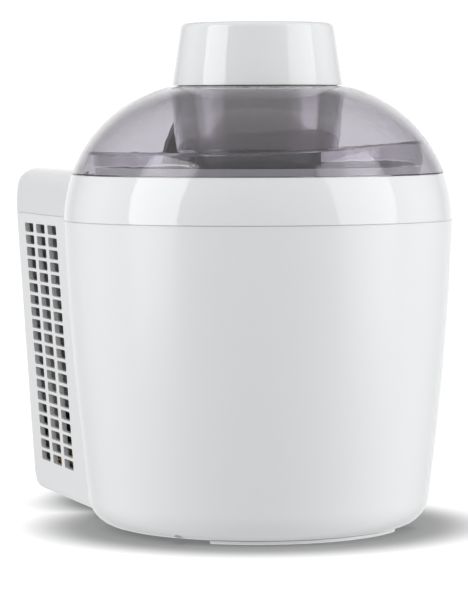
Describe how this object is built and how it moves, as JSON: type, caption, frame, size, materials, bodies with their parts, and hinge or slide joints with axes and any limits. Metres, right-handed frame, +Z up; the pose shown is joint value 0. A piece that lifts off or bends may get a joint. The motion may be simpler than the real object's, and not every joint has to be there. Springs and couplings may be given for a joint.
{
  "type": "ice cream maker",
  "caption": "Countertop ice cream maker with a cooled well, lift-out bowl and paddle, smoke dome lid with a lift-out geared motor unit, and a vented rear housing.",
  "frame": {"origin": "on the bowl and barrel axis, at the floor the appliance stands on", "axes": "+Z up, -Y towards the front, +Y towards the rear housing, +X to the right seen from the rear"},
  "size_m": [0.2196, 0.3216, 0.285],
  "materials": {
    "white_shell": "satin white moulded plastic",
    "white_gloss": "polished white moulded plastic",
    "smoke": "smoke tinted clear plastic",
    "black_plastic": "fine moulded texture",
    "black_gloss": "polished",
    "rubber": "matte",
    "steel": "zinc plated",
    "aluminium": "spun and satin",
    "foam": "closed-cell foam",
    "ceramic": "matte alumina",
    "board": "phenolic board",
    "tape": "winding tape",
    "component": "sleeved",
    "green_plastic": "moulded",
    "brass": "drawn",
    "bronze": "sintered bronze",
    "grey_shell": "polished warm grey plastic",
    "copper": "enamelled copper and laminations",
    "nylon": "natural acetal",
    "paddle_white": "smooth white plastic",
    "brown_wire": "soft sleeve",
    "red_wire": "soft sleeve",
    "black_wire": "soft sleeve"
  },
  "bodies": {
    "base": {"barrel_shell": "white_shell", "rear_shell": "white_shell", "upper_housing": "white_gloss", "bottom_cover": "white_shell", "rubber_feet": "rubber", "cover_screws": "steel", "housing_screws": "steel", "well_insulation": "foam", "cooling_well": "aluminium", "well_seal": "rubber", "cold_block": "aluminium", "peltier_module": "ceramic", "heat_sink": "aluminium", "clamp_screws": "steel", "fan_frame": "black_plastic", "fan_screws": "steel", "supply_board": "board", "board_screws": "steel", "transformer": "tape", "capacitors": "component", "terminal_block": "green_plastic", "power_inlet": "black_plastic", "inlet_pins": "steel", "switch_frame": "black_plastic", "mains_leads": "brown_wire", "module_leads": "red_wire", "fan_leads": "black_wire", "deck_socket": "black_plastic", "lid_leads": "red_wire"},
    "fan": {"fan_rotor": "black_plastic"},
    "rocker": {"switch_rocker": "black_gloss"},
    "lid": {"lid_dome": "smoke", "lid_collar": "smoke", "lid_duct": "black_plastic", "lid_contacts": "brass"},
    "motor_unit": {"motor_cap": "white_gloss", "motor_housing": "grey_shell", "gearbox_cover": "black_plastic", "gear_plate": "steel", "motor_can": "steel", "motor_magnets": "component", "motor_screws": "steel", "gearbox_screws": "steel", "cap_screws": "steel", "idler_pin": "steel", "shaft_bush": "bronze"},
    "rotor": {"motor_rotor": "copper", "motor_pinion": "brass"},
    "idler": {"idler_gear": "nylon"},
    "output": {"output_gear": "nylon", "output_shaft": "steel"},
    "bowl": {"bowl": "aluminium"},
    "paddle": {"paddle": "paddle_white"}
  },
  "joints": [
    {"name": "lid_lift", "type": "slide", "parent": "base", "child": "lid", "axis": [0, 0, 1], "range_m": [0, 0.22]},
    {"name": "motor_lift", "type": "slide", "parent": "lid", "child": "motor_unit", "axis": [0, 0, 1], "range_m": [0, 0.085]},
    {"name": "bowl_lift", "type": "slide", "parent": "base", "child": "bowl", "axis": [0, 0, 1], "range_m": [0, 0.11]},
    {"name": "rotor_spin", "type": "hinge", "parent": "motor_unit", "child": "rotor", "pos_m": [0.0014, 0, 0.23], "axis": [0, 0, 1], "continuous": true},
    {"name": "idler_spin", "type": "hinge", "parent": "motor_unit", "child": "idler", "pos_m": [0.0182, 0, 0.208], "axis": [0, 0, 1], "continuous": true},
    {"name": "output_spin", "type": "hinge", "parent": "motor_unit", "child": "output", "pos_m": [0, 0, 0.205], "axis": [0, 0, 1], "continuous": true},
    {"name": "paddle_spin", "type": "hinge", "parent": "bowl", "child": "paddle", "pos_m": [0, 0, 0.11], "axis": [0, 0, 1], "continuous": true},
    {"name": "fan_spin", "type": "hinge", "parent": "base", "child": "fan", "pos_m": [0, 0.14, 0.129], "axis": [0, 1, 0], "continuous": true},
    {"name": "switch_rock", "type": "hinge", "parent": "base", "child": "rocker", "pos_m": [0.03, 0.205, 0.042], "axis": [-1, 0, 0], "range_deg": [0, 16]}
  ],
  "couplings": [
    {"joint": "bowl_lift", "follows": "lid_lift", "ratio": 0.5},
    {"joint": "idler_spin", "follows": "rotor_spin", "ratio": -0.33333},
    {"joint": "output_spin", "follows": "rotor_spin", "ratio": 0.1},
    {"joint": "paddle_spin", "follows": "rotor_spin", "ratio": 0.1}
  ]
}
